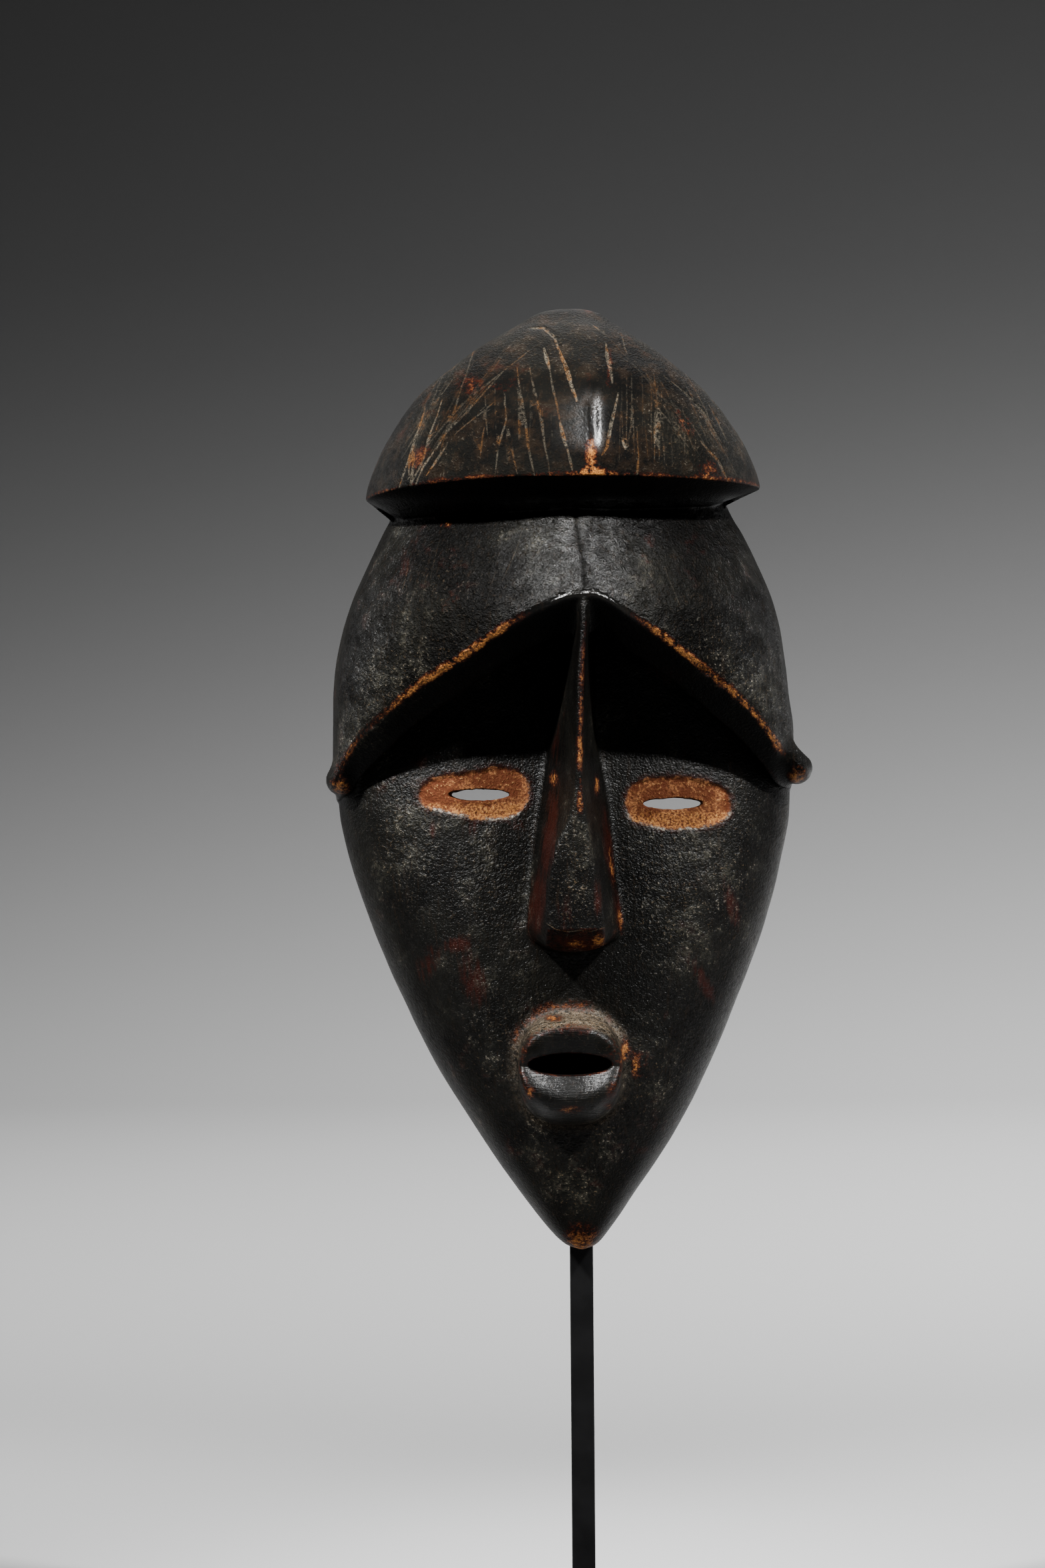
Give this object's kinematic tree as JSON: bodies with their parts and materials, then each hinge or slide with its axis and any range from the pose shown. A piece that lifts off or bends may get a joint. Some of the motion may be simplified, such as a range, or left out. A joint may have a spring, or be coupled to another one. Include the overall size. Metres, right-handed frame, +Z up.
{
  "type": "carved wood mask on stand",
  "caption": "Carved blackened wood face mask with a jutting brow, long nose and domed cap, hollow behind, held up on a square steel rod with a flat foot plate.",
  "frame": {"origin": "centre of the stand foot's underside", "axes": "+X to the viewer's right across the mask, the mask looks along -Y, +Z up the rod"},
  "size_m": [0.1666, 0.1317, 0.4718],
  "materials": {
    "blackened_wood": "satin black patina, worn to brown and orange wood on the edges",
    "black_steel": "matt black"
  },
  "bodies": {
    "root": {"mask": "blackened_wood", "stand_rod": "black_steel", "stand_base": "black_steel"}
  },
  "joints": []
}
